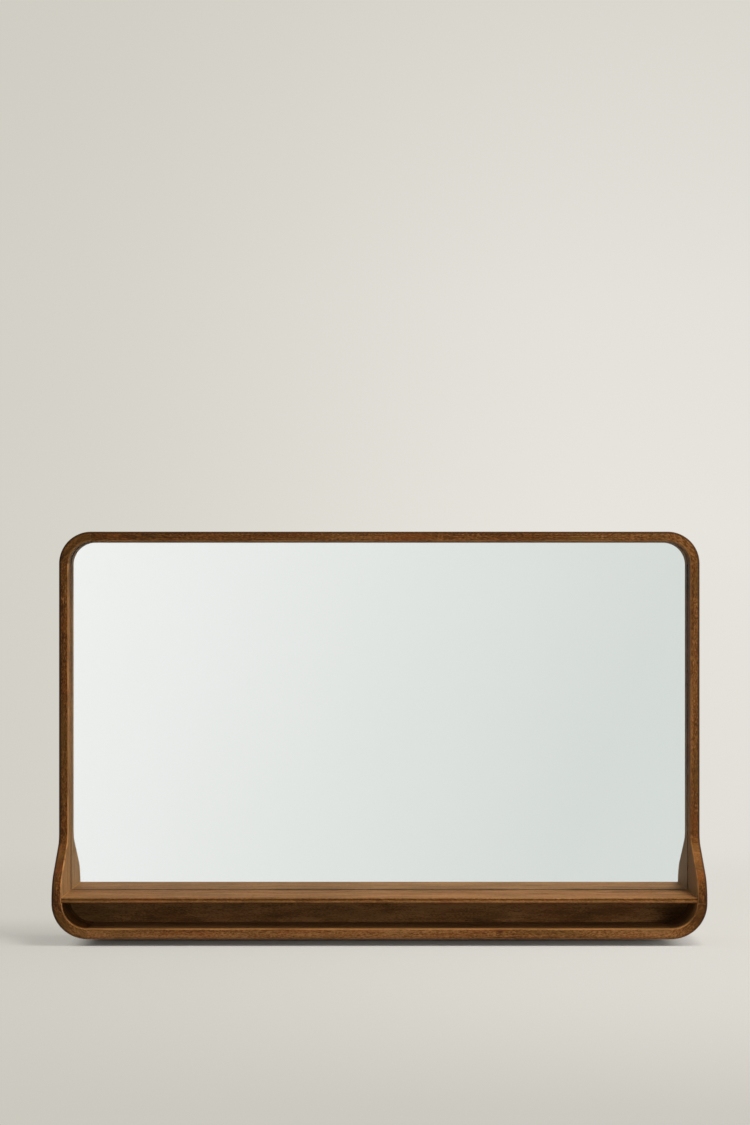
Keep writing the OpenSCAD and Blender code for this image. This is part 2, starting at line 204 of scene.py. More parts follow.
# %% Helpers that shape and finish a piece
IN_ONE_FACE = radians(1)
IN_ONE_LINE = radians(0.1)
SMOOTH_UNDER = radians(35)
SHARP_OVER = radians(40)
BROAD_FACES_ONLY = 100


def round_edges(piece, test, radius, segments, kind="EDGE"):
    """Rounds the edges that pass the test, or the corners of a flat outline with kind VERT."""
    pick(piece, kind, test)
    affect = "VERTICES" if kind == "VERT" else "EDGES"
    bpy.ops.mesh.bevel(offset=radius, segments=segments, affect=affect, clamp_overlap=False)


def push(vector):
    """Extrudes what is selected."""
    bpy.ops.mesh.extrude_region_move(TRANSFORM_OT_translate={"value": vector})


def outward():
    """Turns all faces outwards."""
    bpy.ops.mesh.select_all(action="SELECT")
    bpy.ops.mesh.normals_make_consistent(inside=False)


def mirrored(piece, name):
    """A copy on the other side of the middle, with its own mesh."""
    rest()
    piece.select_set(True)
    bpy.context.view_layer.objects.active = piece
    bpy.ops.object.duplicate()
    twin = bpy.context.object
    twin.name = name
    twin.scale.x = -1
    bpy.ops.object.transform_apply(location=False, rotation=False, scale=True)
    bpy.ops.object.mode_set(mode="EDIT")
    outward()
    rest()
    return twin


def apply_modifier(piece, kind, **settings):
    """Adds a modifier and applies it."""
    rest()
    piece.select_set(True)
    bpy.context.view_layer.objects.active = piece
    made = piece.modifiers.new(kind.lower(), kind)
    for key, value in settings.items():
        setattr(made, key, value)
    bpy.ops.object.modifier_apply(modifier=made.name)


def smooth(piece):
    """Smooth shading on the roundings, while flat faces stay flat."""
    rest()
    piece.select_set(True)
    bpy.context.view_layer.objects.active = piece
    bpy.ops.object.shade_smooth_by_angle(angle=SMOOTH_UNDER)
    apply_modifier(piece, "WEIGHTED_NORMAL", keep_sharp=True, weight=BROAD_FACES_ONLY)


def settle(piece, body, slot, finish, *nodes):
    """Gives the piece its finish and its body, and hides the nodes that it stands for. The slot is not used.
    """
    smooth(piece)
    piece.data.materials.clear()
    for one in finish if isinstance(finish, list) else [finish]:
        piece.data.materials.append(one)
    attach(piece, body)
    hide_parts(*nodes)
    print(f"{piece.name}: {len(piece.data.polygons)} faces, on {body}")


# %% [markdown]
# ## Helpers for finishes
# A finish is a tree of nodes. `Value` wraps a socket, so that sums are written as sums, and each one adds
# a Math node. Colours go through Mix nodes. One method makes any other node.

# %% A number that varies over a surface


class Value:
    """A number, vector or colour that varies over a surface."""

    def __init__(self, finish, socket):
        self.finish, self.socket = finish, socket

    def math(self, operation, a, b):
        return self.finish.node("Math", {"operation": operation}, {0: a, 1: b})

    def __add__(self, other):
        return self.math("ADD", self, other)

    __radd__ = __add__

    def __sub__(self, other):
        return self.math("SUBTRACT", self, other)

    def __rsub__(self, other):
        return self.math("SUBTRACT", other, self)

    def __mul__(self, other):
        return self.math("MULTIPLY", self, other)

    __rmul__ = __mul__

    def __truediv__(self, other):
        return self.math("DIVIDE", self, other)

    def most(self, other):
        """The greater of the two."""
        return self.math("MAXIMUM", self, other)

    def least(self, other):
        """The smaller of the two."""
        return self.math("MINIMUM", self, other)


# %% A tree of nodes


class Finish:
    """A node tree, and the one method that makes its nodes."""

    def __init__(self, tree):
        self.tree = tree
        tree.nodes.clear()

    def node(self, kind, settings=None, inputs=None, output=0):
        """Makes a node: its settings first, then the values or links of its sockets."""
        made = self.tree.nodes.new("ShaderNode" + kind)
        for key, value in (settings or {}).items():
            if key == "stops":
                self.set_stops(made.color_ramp, value)
            else:
                setattr(made, key, value)
        for key, value in (inputs or {}).items():
            if isinstance(value, Value):
                self.tree.links.new(value.socket, made.inputs[key])
            else:
                made.inputs[key].default_value = value
        return Value(self, made.outputs[output]) if made.outputs else None

    def set_stops(self, ramp, stops):
        """Gives a colour ramp its stops, each a place and a colour."""
        while len(ramp.elements) < len(stops):
            ramp.elements.new(1)
        for element, (place, colour) in zip(ramp.elements, stops):
            element.position = place
            element.color = colour

    def place(self, turn=(0, 0, 0), shift=(0, 0, 0)):
        """Object coordinates, turned and moved."""
        at = self.node("TexCoord", output="Object")
        return self.node("Mapping", inputs={"Vector": at, "Rotation": turn, "Location": shift})

    def stretch(self, vector, along, across):
        """Coordinates scaled by one number along the grain, and another across it."""
        return self.node("VectorMath", {"operation": "MULTIPLY"}, {0: vector, 1: (along, across, across)})

    def noise(self, vector, scale=1.0, detail=2.0, roughness=0.5, output=0):
        """A noise between 0 and 1, with scale cells in a metre."""
        inputs = {"Vector": vector, "Scale": scale, "Detail": detail, "Roughness": roughness}
        return self.node("TexNoise", inputs=inputs, output=output)

    def ease(self, value, low, high):
        """0 below low, 1 above high, and smooth between them."""
        inputs = {"Value": value, "From Min": low, "From Max": high}
        return self.node("MapRange", {"interpolation_type": "SMOOTHSTEP"}, inputs)

    def mix(self, share, a, b):
        """Colour a where share is 0, and b where it is 1."""
        return self.node("Mix", {"data_type": "RGBA"}, {0: share, 6: a, 7: b}, output=2)

    def bump(self, height, strength, distance):
        """A relief from a height between 0 and 1."""
        return self.node("Bump", inputs={"Height": height, "Strength": strength, "Distance": distance})

    def surface(self, **inputs):
        """Ends the tree in a Principled shader; underscores in the names stand for spaces."""
        shader = self.node("BsdfPrincipled", inputs={key.replace("_", " "): v for key, v in inputs.items()})
        self.node("OutputMaterial", inputs={"Surface": shader})


# %% New finishes and colours


def new_finish(name):
    """A new material and its finish."""
    material = bpy.data.materials.new(name)
    material.use_nodes = True
    return material, Finish(material.node_tree)


def tint(red, green, blue):
    """A colour as an eye reads it, 0 to 255, in the linear numbers that a shader takes."""
    parts = [c / 255 for c in (red, green, blue)]
    linear = [c / 12.92 if c <= 0.04045 else ((c + 0.055) / 1.055) ** 2.4 for c in parts]
    return (*linear, 1)


# %% [markdown]
# ## Wood
# The frame is a brown hardwood with a fine, mottled grain under a thin oil, so it hardly shines. Wood could
# be painted with one noise, but then every side of a board looks alike. Here the pattern is solid, as in
# a tree: growth rings are distances from a heart line beside the board, and flecks, fibres and pores
# are noise that is stretched along the grain.
#
# The first numbers are the colours, and how many cells each noise has in a metre.

# %% Colours and scales of the wood
DEEP = tint(50, 27, 6)
BODY = tint(101, 60, 20)
PALE = tint(144, 100, 60)
# Lighter inner edges: partly worn, partly a painted highlight
WEAR_AND_HIGHLIGHT = tint(172, 122, 72)
PORE = tint(33, 17, 6)
KNOT = tint(58, 22, 12)
RED = tint(116, 60, 24)
OLIVE = tint(92, 64, 26)
# A paler, duller colour on the broad inner faces: painted light and sheen
PAINTED_SHEEN = tint(142, 110, 70)
SHADES = [(0.12, DEEP), (0.5, BODY), (0.88, PALE)]

# Cells in a metre, along the grain and across it
WAVER_CELLS = 1.3, 7
FLECK_CELLS = 300, 950
FIBRE_CELLS = 14, 820
PORE_CELLS = 120, 2300
DRIFT_CELLS = 3.2, 26
FIGURE_CELLS = 14, 90
HUE_CELLS = 13, 60
# Patches of the lighter inner edges, worn and painted highlight
WEAR_AND_HIGHLIGHT_CELLS = 30, 90
RING_CELLS = 330

# How far each pattern moves the shade, and the most that each colour takes
RING_SHADE, FIBRE_SHADE, FLECK_SHADE, DRIFT_SHADE, FIGURE_SHADE = 0.5, 0.6, 2.2, 0.7, 2.3
# The last of these darkens the outer edges: partly oil, partly painted shade
RED_SHARE, OLIVE_SHARE, PORE_SHARE, KNOT_SHARE, OIL_AND_SHADE_SHARE = 0.35, 0.5, 0.55, 0.85, 0.85
# Least painted sheen on inner faces, then how much the inner edges are lightened: worn and painted highlight
PAINTED_SHEEN_MORE, LEAST_WEAR_AND_HIGHLIGHT, PATCHY_WEAR_AND_HIGHLIGHT = 0.08, 0.14, 0.32

# How far a fibre wavers, and where the heart line lies
WAVER = 12 * MM
HEART = (0, 0.11, -0.05)

# The knot is dark up to the first distance and ends at the second, and its rim is ragged
KNOT_DARK_TO, KNOT_ENDS = 1.2 * MM, 4.5 * MM
KNOT_RAGGED = 2 * MM
KNOT_CELLS = 420
KNOT_SHAPE = (0.55, 0.4, 1)
print("wood colours", [round(c, 3) for c in BODY[:3]])

# %% [markdown]
# The grain runs along X, so each piece turns the pattern to its own grain and moves it, and no two pieces
# are alike. A piece is lighter by `tone`, partly its own tone and partly painted light. Its broad inner faces
# are lighter by `inside` as well, and paler and duller in colour: painted light and sheen. Both may change
# along an axis.
#
# Two attributes of the mesh say where this goes. `inner` is 1 on the broad inner faces. `arris` is
# above 0 on rounded inner edges, which are lighter, partly worn and partly a painted highlight, and below 0
# on the outer ones, which are darker, partly thick oil and partly painted shade. A number that is further
# from 0 shows more.

# %% Patterns of the wood


def along(f, tone):
    """A tone that changes along an axis, or the number that it is."""
    if not isinstance(tone, tuple):
        return tone
    axis, start, end, first, last = tone
    place = f.node("SeparateXYZ", inputs={0: f.place()}, output=axis)
    return first + (last - first) * f.ease(place, start, end)


def wavered(f, at):
    """The place with a slow waver of the fibres."""
    waver = f.noise(f.stretch(at, *WAVER_CELLS), detail=2, output=1)
    waver = f.node("VectorMath", {"operation": "SUBTRACT"}, {0: waver, 1: (0.5, 0.5, 0.5)})
    return f.node("VectorMath", {"operation": "MULTIPLY_ADD"}, {0: waver, 1: (0, WAVER, WAVER), 2: at})


def growth_rings(f, bent):
    """Noise over the distance from the heart line."""
    across = f.node("VectorMath", {"operation": "MULTIPLY_ADD"}, {0: bent, 1: (0, 1, 1), 2: HEART})
    heart = f.node("VectorMath", {"operation": "LENGTH"}, {0: across}, output=1)
    return f.node("TexNoise", {"noise_dimensions": "1D"}, {"W": heart, "Scale": RING_CELLS, "Detail": 2})


def knot_share(f, knot, colour):
    """Share and colours of a small knot: a dark eye, longer along the grain."""
    at = f.place()
    off = f.node("VectorMath", {"operation": "SUBTRACT"}, {0: at, 1: knot})
    off = f.node("VectorMath", {"operation": "MULTIPLY"}, {0: off, 1: KNOT_SHAPE})
    away = f.node("VectorMath", {"operation": "LENGTH"}, {0: off}, output=1)
    ragged = away + KNOT_RAGGED * f.noise(at, scale=KNOT_CELLS, detail=2)
    return KNOT_SHARE * (1 - f.ease(ragged, KNOT_DARK_TO, KNOT_ENDS)), colour, KNOT


# %% Wood


def wood(name, grain=0.0, shift=(0, 0, 0), tone=0.0, inside=0.14, knot=None):
    """Wood with its grain at an angle from X towards Z, and its pattern moved by shift.

    It is lighter by tone, partly painted light, and its inner faces by inside as well, painted light and
    sheen. Either may be a tuple, and then changes along an axis: axis, first place, last place, first tone,
    last tone.
    """
    material, f = new_finish(name)
    at = f.place(turn=(0, grain, 0), shift=shift)
    tone, inside = along(f, tone), along(f, inside)
    bent = wavered(f, at)
    rings = growth_rings(f, bent)
    flecks = f.noise(f.stretch(bent, *FLECK_CELLS), detail=3, roughness=0.65)
    fibres = f.noise(f.stretch(bent, *FIBRE_CELLS), detail=2, roughness=0.6)
    pores = f.ease(f.noise(f.stretch(bent, *PORE_CELLS), detail=1), 0.6, 0.7)
    drift = f.noise(f.stretch(bent, *DRIFT_CELLS), detail=2)
    figure = f.noise(f.stretch(bent, *FIGURE_CELLS), detail=4, roughness=0.65)
    # Light and dark grain and tone, with a broader figure and painted light on the inner faces
    inner = f.node("Attribute", {"attribute_name": "inner"}, output="Fac")
    shade = 0.5 + tone + RING_SHADE * (rings - 0.5) + FIBRE_SHADE * (fibres - 0.5)
    shade = shade + FLECK_SHADE * (flecks - 0.5) + DRIFT_SHADE * (drift - 0.5)
    shade = shade + inner * (inside + FIGURE_SHADE * (figure - 0.5))
    colour = f.node("ValToRGB", {"stops": SHADES}, {0: shade})
    # Redder and greener patches, a painted sheen on the inner faces and dark pores
    hue = f.noise(f.stretch(at, *HUE_CELLS), detail=3)
    colour = f.mix(RED_SHARE * f.ease(hue, 0.5, 0.68), colour, RED)
    colour = f.mix(OLIVE_SHARE * (1 - f.ease(hue, 0.32, 0.48)), colour, OLIVE)
    colour = f.mix((inner * (PAINTED_SHEEN_MORE + inside)).most(0), colour, PAINTED_SHEEN)
    colour = f.mix(PORE_SHARE * pores, colour, PORE)
    if knot:
        colour = f.mix(*knot_share(f, knot, colour))
    # Lighter inner edges, worn and with a painted highlight, and darker outer ones, oil and painted shade
    arris = f.node("Attribute", {"attribute_name": "arris"}, output="Fac")
    patchy = f.ease(f.noise(f.stretch(at, *WEAR_AND_HIGHLIGHT_CELLS), detail=2), 0.3, 0.62)
    wear_and_highlight = arris.most(0) * (LEAST_WEAR_AND_HIGHLIGHT + PATCHY_WEAR_AND_HIGHLIGHT * patchy)
    colour = f.mix(wear_and_highlight, colour, WEAR_AND_HIGHLIGHT)
    colour = f.mix(OIL_AND_SHADE_SHARE * (0 - arris).most(0), colour, DEEP)
    roughness = 0.62 + 0.2 * (fibres - 0.5) + 0.2 * pores - 0.1 * wear_and_highlight
    height = 0.5 * fibres + 0.4 * flecks - 0.8 * pores
    f.surface(Base_Color=colour, Roughness=roughness, Normal=f.bump(height, 0.3, 0.12 * MM),
              Specular_IOR_Level=0.13)
    return material


# %% Marks for lighter and darker edges: worn and painted highlight, oil and painted shade


def fully(place):
    """The whole outer edge is equally dark."""
    return 1.0


def mark_arris(piece, depth, thickness, outer=OUTER_ROUND, inner=INNER_ROUND, light=1.0, dark=fully):
    """Marks rounded edges and inner faces: depth(place) is how far a vertex lies under the outer face."""
    for name in ("arris", "inner"):
        piece.data.attributes.new(name, "FLOAT", "POINT")
    edges, faces = (piece.data.attributes[name].data for name in ("arris", "inner"))
    for vertex, edge, face in zip(piece.data.vertices, edges, faces):
        under = depth(vertex.co)
        on_outer = NEAR < under < outer - NEAR
        on_inner = thickness - inner + NEAR < under < thickness - NEAR
        edge.value = light if on_inner else -dark(vertex.co) if on_outer else 0.0
        face.value = 1.0 if under > thickness - NEAR else 0.0


# %% [markdown]
# ## Sections of the frame
# The top rail and the two round blocks beside it share one section: 12 mm thick, 40 mm deep, with both
# front edges rounded and a rebate behind for the glass. The bottom board and the blocks at its ends
# share another: 13 mm thick and as deep as the whole frame. A boolean could cut the rebate out of a bar.
# It is cleaner to draw each section once as a flat sheet, extrude it for a straight piece and spin it
# through a quarter turn for a corner, because then the roundings run on without a break.

# %% Sections of the frame
ROUND_STEPS = 6
BACK_STEPS = 2


def upper_section(name, x):
    """Section of the wood over the mirror, as a flat sheet across X."""
    piece = sheet(name, (x, UPPER_Y, TOP_Z - LIP), (x, BACK_Y, TOP_Z))
    bpy.ops.mesh.bisect(plane_co=(0, GLASS_Y, 0), plane_no=(0, 1, 0))
    pick(piece, "EDGE", lambda e: in_plane(e, 2, TOP_Z - LIP) and middle(e).y < GLASS_Y)
    bpy.ops.mesh.extrude_edges_move(TRANSFORM_OT_translate={"value": (0, 0, LIP - WALL)})
    bpy.ops.mesh.select_all(action="SELECT")
    bpy.ops.mesh.dissolve_limited(angle_limit=IN_ONE_FACE)
    round_edges(piece, lambda v: near(v.co.y, UPPER_Y) and near(v.co.z, TOP_Z),
                OUTER_ROUND, ROUND_STEPS, "VERT")
    round_edges(piece, lambda v: near(v.co.y, UPPER_Y) and near(v.co.z, TOP_Z - WALL),
                INNER_ROUND, ROUND_STEPS, "VERT")
    round_edges(piece, lambda v: near(v.co.y, BACK_Y), BACK_ROUND, BACK_STEPS, "VERT")
    return piece


def lower_section(name, x):
    """Section of the bottom board, as a flat sheet across X."""
    piece = sheet(name, (x, FRONT_Y, 0), (x, BACK_Y, BASE_T))
    round_edges(piece, lambda v: near(v.co.y, FRONT_Y) and near(v.co.z, 0),
                OUTER_ROUND, ROUND_STEPS, "VERT")
    round_edges(piece, lambda v: near(v.co.y, FRONT_Y) and near(v.co.z, BASE_T),
                INNER_ROUND, ROUND_STEPS, "VERT")
    round_edges(piece, lambda v: near(v.co.y, BACK_Y), BACK_ROUND, BACK_STEPS, "VERT")
    return piece


def soften_ends(piece, axis, *values):
    """A hair of a chamfer round a piece's ends, which shows as a fine line at each joint."""
    for value in values:
        round_edges(piece, lambda e, at=value: in_plane(e, axis, at), JOINT_ROUND, 1)


def straight(piece, length):
    """Extrudes a section along X."""
    start = bmesh.from_edit_mesh(piece.data).verts[:][0].co.x
    bpy.ops.mesh.select_all(action="SELECT")
    push((length, 0, 0))
    outward()
    soften_ends(piece, 0, start, start + length)
    rest()


print(f"upper section {WALL / MM:.1f} x {(BACK_Y - UPPER_Y) / MM:.1f} mm, "
      f"lower section {BASE_T / MM:.1f} x {(BACK_Y - FRONT_Y) / MM:.1f} mm")

# %% [markdown]
# ## Top rail and bottom board
# Both are straight, so each is a section extruded to its length. No board has one even tone. The rail grows
# lighter to the right and the bottom board darker, and the corner blocks go from one tone to
# the next, so the tones of all pieces stand together here. The tones are partly the wood's own and partly
# painted light from the right: the rail is lighter towards its right end and the left side darker.

# %% Tones, from the left to the right end, or from the foot up
# Partly painted light from the right: the rail lighter to the right, the left side darker than the right
TOP_TONES = -0.18, 0.07
TOP_SPAN = -0.36, 0.3
BASE_TONES = 0.22, 0.05
BASE_SPAN = -0.28, 0.2
LEFT_TONES = -0.27, -0.19
RIGHT_TONES = -0.27, -0.04

# Dark oil and painted shade on the outer edge: this share under the foot, and all of it from this height up
FOOT_DARK = 0.3
ALL_DARK_Z = 25 * MM


def base_dark(place):
    """The outer edge is less dark towards the underside."""
    return FOOT_DARK + (1 - FOOT_DARK) * min(place.z / ALL_DARK_Z, 1)


# The dark edge is partly oil and partly painted shade
print(f"the underside keeps {FOOT_DARK:.0%} of the dark oil on its edge")

# %% Top rail and bottom board
KNOT_AT = (0.147, FRONT_Y, 0.0091)

top_rail = upper_section("top_rail_wood", rail_low.x)
straight(top_rail, rail_high.x - rail_low.x)
mark_arris(top_rail, lambda p: TOP_Z - p.z, WALL)
finish = wood("top_rail_wood", shift=(0.31, 0.02, 0), tone=("X", *TOP_SPAN, *TOP_TONES))
settle(top_rail, "frame", "frame_wood", finish, "top_rail")

bottom_board = lower_section("bottom_board_wood", board_low.x)
straight(bottom_board, board_high.x - board_low.x)
mark_arris(bottom_board, lambda p: p.z, BASE_T, dark=base_dark)
finish = wood("bottom_board_wood", shift=(-1.2, 0.06, 0.013), tone=("X", *BASE_SPAN, *BASE_TONES),
              knot=KNOT_AT)
settle(bottom_board, "frame", "shelf_wood", finish, "bottom_board")

# %% [markdown]
# ## Round corner blocks
# Each outer corner is one block, sawn round and doweled between its neighbours. It could be bent from a
# straight bar, but Blender's bend needs a window and would stretch the arrises. A spin of the
# section is exact. A spin can turn a shape inside out, so its faces are turned outwards again.
# The grain of such a block runs across the corner at 45 degrees, where the block is strongest.

# %% Round corner blocks
SPIN_STEPS = 24


def spun(piece, turn, centre):
    """Spins a section about an axis along Y."""
    bpy.ops.mesh.select_mode(type="FACE")
    bpy.ops.mesh.select_all(action="SELECT")
    bpy.ops.mesh.spin(steps=SPIN_STEPS, angle=turn, center=(centre[0], 0, centre[1]), axis=(0, 1, 0))
    bpy.ops.mesh.select_all(action="SELECT")
    bpy.ops.mesh.remove_doubles(threshold=NEAR)
    outward()
    soften_ends(piece, 0, centre[0])
    soften_ends(piece, 2, centre[1])
    rest()


top_centre = (HALF_W - TOP_R, TOP_Z - TOP_R)
top_right = upper_section("top_right_corner_wood", top_centre[0])
spun(top_right, -pi / 2, top_centre)
top_left = mirrored(top_right, "top_left_corner_wood")

base_centre = (HALF_W - BASE_R, BASE_R)
base_right = lower_section("bottom_right_corner_wood", base_centre[0])
spun(base_right, pi / 2, base_centre)
base_left = mirrored(base_right, "bottom_left_corner_wood")

# %% Finish of the corner blocks
BLEND_LOW = 0.3 * BASE_T
BLEND_HIGH = 2 * BASE_T
BASE_LEFT_TONE = 0.14


def under_round(centre, radius):
    """Depth of a place under a round outer face."""
    return lambda p: radius - hypot(abs(p.x) - centre[0], p.z - centre[1])


for piece, angle, shift, tones in (
        (top_left, pi / 4, (0.2, 0.05, 0.1), (LEFT_TONES[1], TOP_TONES[0])),
        (top_right, -pi / 4, (0.75, 0.01, 0.07), (RIGHT_TONES[1], TOP_TONES[1]))):
    mark_arris(piece, under_round(top_centre, TOP_R), WALL)
    finish = wood(piece.name, angle, shift, ("Z", TOP_Z - TOP_R, TOP_Z - WALL, *tones))
    settle(piece, "frame", "frame_wood", finish, piece.name.removesuffix("_wood"))
# At the niche's ends the painted light of the inner faces is lowered at the left and raised at the right
for piece, angle, shift, tones, inside in (
        (base_left, -pi / 4, (1.7, 0.05, 0.24), (BASE_LEFT_TONE, LEFT_TONES[0]), -0.12),
        (base_right, pi / 4, (1.9, 0.08, 0.16), (BASE_TONES[1], RIGHT_TONES[0]), 0.2)):
    mark_arris(piece, under_round(base_centre, BASE_R), BASE_T, dark=base_dark)
    finish = wood(piece.name, angle, shift, ("Z", BLEND_LOW, BLEND_HIGH, *tones), inside)
    settle(piece, "frame", "frame_wood", finish, piece.name.removesuffix("_wood"))

# %% [markdown]
# ## Sides with their cheeks
# A side is sawn from one board. Its front edge stands upright, rounds over a nose, runs down a slope into
# a hollow, and goes on upright beside the mirror. The curve could be drawn as a Bezier, but a maker
# uses two radii and a straight edge. So the outline is cut from a sheet with two bisections, which
# leave two corners, and each corner is bevelled to its arc. An arc of radius r between lines that
# turn by an angle starts r tan(angle / 2) before the corner, and that is the bevel's offset.

# %% The cheek's curve
CHEEK_LOW = BASE_R + 4.5 * MM
CHEEK_TOP = CHEEK_LOW + 75 * MM
NOSE_R = 35 * MM
HOLLOW_R = 15 * MM
NOSE_STEPS = 20
HOLLOW_STEPS = 14

# The slope touches both arcs, so it leans more than the line between their centres
sweep_y = UPPER_Y - FRONT_Y - NOSE_R - HOLLOW_R
sweep_z = CHEEK_TOP - CHEEK_LOW
lean = atan2(sweep_y, sweep_z) + asin((NOSE_R + HOLLOW_R) / hypot(sweep_y, sweep_z))
nose_trim = NOSE_R * tan(lean / 2)
hollow_trim = HOLLOW_R * tan(lean / 2)
nose_corner = Vector((0, FRONT_Y, CHEEK_LOW + nose_trim))
hollow_corner = Vector((0, UPPER_Y, CHEEK_TOP - hollow_trim))
slope = hollow_corner - nose_corner
over = Vector((0, -slope.z, slope.y))
print(f"the cheek's slope leans {lean * 180 / pi:.2f} degrees")

# %% Right side, and the left side as its twin


def is_front_edge(edge, x):
    """True for the outline's front edges in the face at x."""
    at = middle(edge)
    level = near(edge.verts[0].co.z, edge.verts[1].co.z)
    return in_plane(edge, 0, x) and at.y < UPPER_Y + NEAR and not level


def is_waste(face):
    """True for the sheet in front of the slope and over it."""
    at = middle(face)
    return at.y < UPPER_Y and (at - nose_corner).dot(over) > 0


right_side = sheet("right_side_wood", (HALF_W, FRONT_Y, side_low.z), (HALF_W, BACK_Y, side_high.z))
bpy.ops.mesh.bisect(plane_co=(0, UPPER_Y, 0), plane_no=(0, 1, 0))
pick(right_side, "FACE", lambda face: middle(face).y < UPPER_Y)
bpy.ops.mesh.bisect(plane_co=nose_corner, plane_no=over)
pick(right_side, "FACE", is_waste)
bpy.ops.mesh.delete(type="FACE")
bpy.ops.mesh.select_all(action="SELECT")
bpy.ops.mesh.dissolve_limited(angle_limit=IN_ONE_LINE)
round_edges(right_side, lambda v: (v.co - nose_corner).yz.length < NEAR, nose_trim, NOSE_STEPS, "VERT")
round_edges(right_side, lambda v: (v.co - hollow_corner).yz.length < NEAR, hollow_trim, HOLLOW_STEPS, "VERT")
bpy.ops.mesh.select_all(action="SELECT")
bpy.ops.mesh.bisect(plane_co=(0, GLASS_Y, 0), plane_no=(0, 1, 0))
bpy.ops.mesh.select_all(action="SELECT")
push((-LIP, 0, 0))
pick(right_side, "FACE", lambda face: in_plane(face, 0, HALF_W - LIP) and middle(face).y < GLASS_Y)
push((-REBATE_W, 0, 0))
outward()
round_edges(right_side, lambda e: is_front_edge(e, HALF_W), OUTER_ROUND, ROUND_STEPS)
round_edges(right_side, lambda e: is_front_edge(e, HALF_W - WALL), INNER_ROUND, ROUND_STEPS)
round_edges(right_side, lambda e: runs(e, 2) and near(middle(e).y, BACK_Y), BACK_ROUND, BACK_STEPS)
soften_ends(right_side, 2, side_low.z, side_high.z)
rest()
left_side = mirrored(right_side, "left_side_wood")

# %% Finish of the sides
# Heights over which the painted light on the sides' inner faces changes
PAINTED_LIGHT_LOW = 30 * MM
PAINTED_LIGHT_HIGH = 250 * MM

# Inner faces get more painted light near the foot; the left inner edge gets a stronger painted highlight
for piece, shift, tones, inside, rubbed_and_lit in (
        (left_side, (0.9, 0.035, 0.33), LEFT_TONES, (0.41, 0.12), 1.6),
        (right_side, (2.6, 0.02, 0.41), RIGHT_TONES, (0.75, -0.08), 1.0)):
    mark_arris(piece, lambda p: HALF_W - abs(p.x), WALL, light=rubbed_and_lit)
    node = piece.name.removesuffix("_wood")
    finish = wood(piece.name, pi / 2, shift, ("Z", CHEEK_LOW, CHEEK_TOP, *tones),
                  ("Z", PAINTED_LIGHT_LOW, PAINTED_LIGHT_HIGH, *inside))
    settle(piece, "frame", "frame_wood", finish, node)

# %% [markdown]
# ## Shelf
# The shelf is a thin board. Both front edges are rounded, and a tongue at each end goes into a housing in
# the cheek. A fine dark line of painted shade runs along the front edge between two painted highlights, and
# where the top meets a cheek it ends in a light line, partly worn and partly a painted highlight. Such lines
# could be cut as grooves, but they are only painted, so the board gets rows of vertices that carry their
# marks. That takes a few bisections.

# %% Shelf
SHELF_T = shelf_high.z - shelf_low.z
SHELF_ROUND = 2 * MM
TONGUE = 3 * MM
TONGUE_STOP = 14 * MM
# The light line where the top meets a cheek: partly worn, partly a painted highlight
END_LINE = 1.2 * MM
END_MARK = 3.0

# Depth under the top, and the mark there: above 0 is a painted highlight, below 0 a painted dark line
EDGE_MARKS = [(0, 0.2), (0.9 * MM, 0.5), (1.4 * MM, 0), (1.9 * MM, -0.9), (2.7 * MM, -0.9), (3.2 * MM, 0.5),
              (5.2 * MM, 0.9), (6 * MM, -0.2)]

shelf_end = shelf_high.x - TONGUE
shelf = block("shelf_wood", (-shelf_end, shelf_low.y, shelf_low.z), (shelf_end, shelf_high.y, shelf_high.z))
bpy.ops.mesh.bisect(plane_co=(0, FRONT_Y + TONGUE_STOP, 0), plane_no=(0, 1, 0))
for way in (-1, 1):
    pick(shelf, "FACE", lambda face, x=way * shelf_end: in_plane(face, 0, x)
         and middle(face).y > FRONT_Y + TONGUE_STOP)
    push((way * TONGUE, 0, 0))
outward()
round_edges(shelf, lambda e: runs(e, 0) and near(middle(e).y, shelf_low.y), SHELF_ROUND, ROUND_STEPS)
for way in (-1, 1):
    bpy.ops.mesh.select_all(action="SELECT")
    bpy.ops.mesh.bisect(plane_co=(way * (shelf_end - END_LINE), 0, 0), plane_no=(1, 0, 0))
for under, _ in EDGE_MARKS:
    if SHELF_ROUND < under < SHELF_T - SHELF_ROUND:
        bpy.ops.mesh.select_all(action="SELECT")
        bpy.ops.mesh.bisect(plane_co=(0, 0, shelf_high.z - under), plane_no=(0, 0, 1))
rest()

# %% Marks and finish of the shelf
SHELF_TONES = 0.01, 0.06
SHELF_SPAN = -0.3, 0.2


def mark_under(under):
    """The mark of the shelf's front edge at a depth under its top, between the two nearest entries."""
    for (a, first), (b, last) in zip(EDGE_MARKS, EDGE_MARKS[1:]):
        if under <= b + NEAR:
            return first + (last - first) * (under - a) / (b - a)
    return 0.0


mark_arris(shelf, lambda p: shelf_high.z - p.z, SHELF_T, SHELF_ROUND, SHELF_ROUND)
marks = shelf.data.attributes["arris"].data, shelf.data.attributes["inner"].data
# Light lines at the shelf's ends, and painted highlights and a dark line along its front edge
for vertex, edge, face in zip(shelf.data.vertices, *marks):
    on_top = near(vertex.co.z, shelf_high.z)
    face.value = 1.0 if on_top else 0.0
    if on_top and abs(vertex.co.x) > shelf_end - END_LINE + NEAR:
        edge.value = END_MARK
    elif near(vertex.co.y, shelf_high.y):
        edge.value = 0.0
    else:
        edge.value = mark_under(shelf_high.z - vertex.co.z)
finish = wood("shelf_wood", shift=(3.1, 0.09, 0.02), tone=("X", *SHELF_SPAN, *SHELF_TONES))
settle(shelf, "frame", "shelf_wood", finish, "shelf_board")

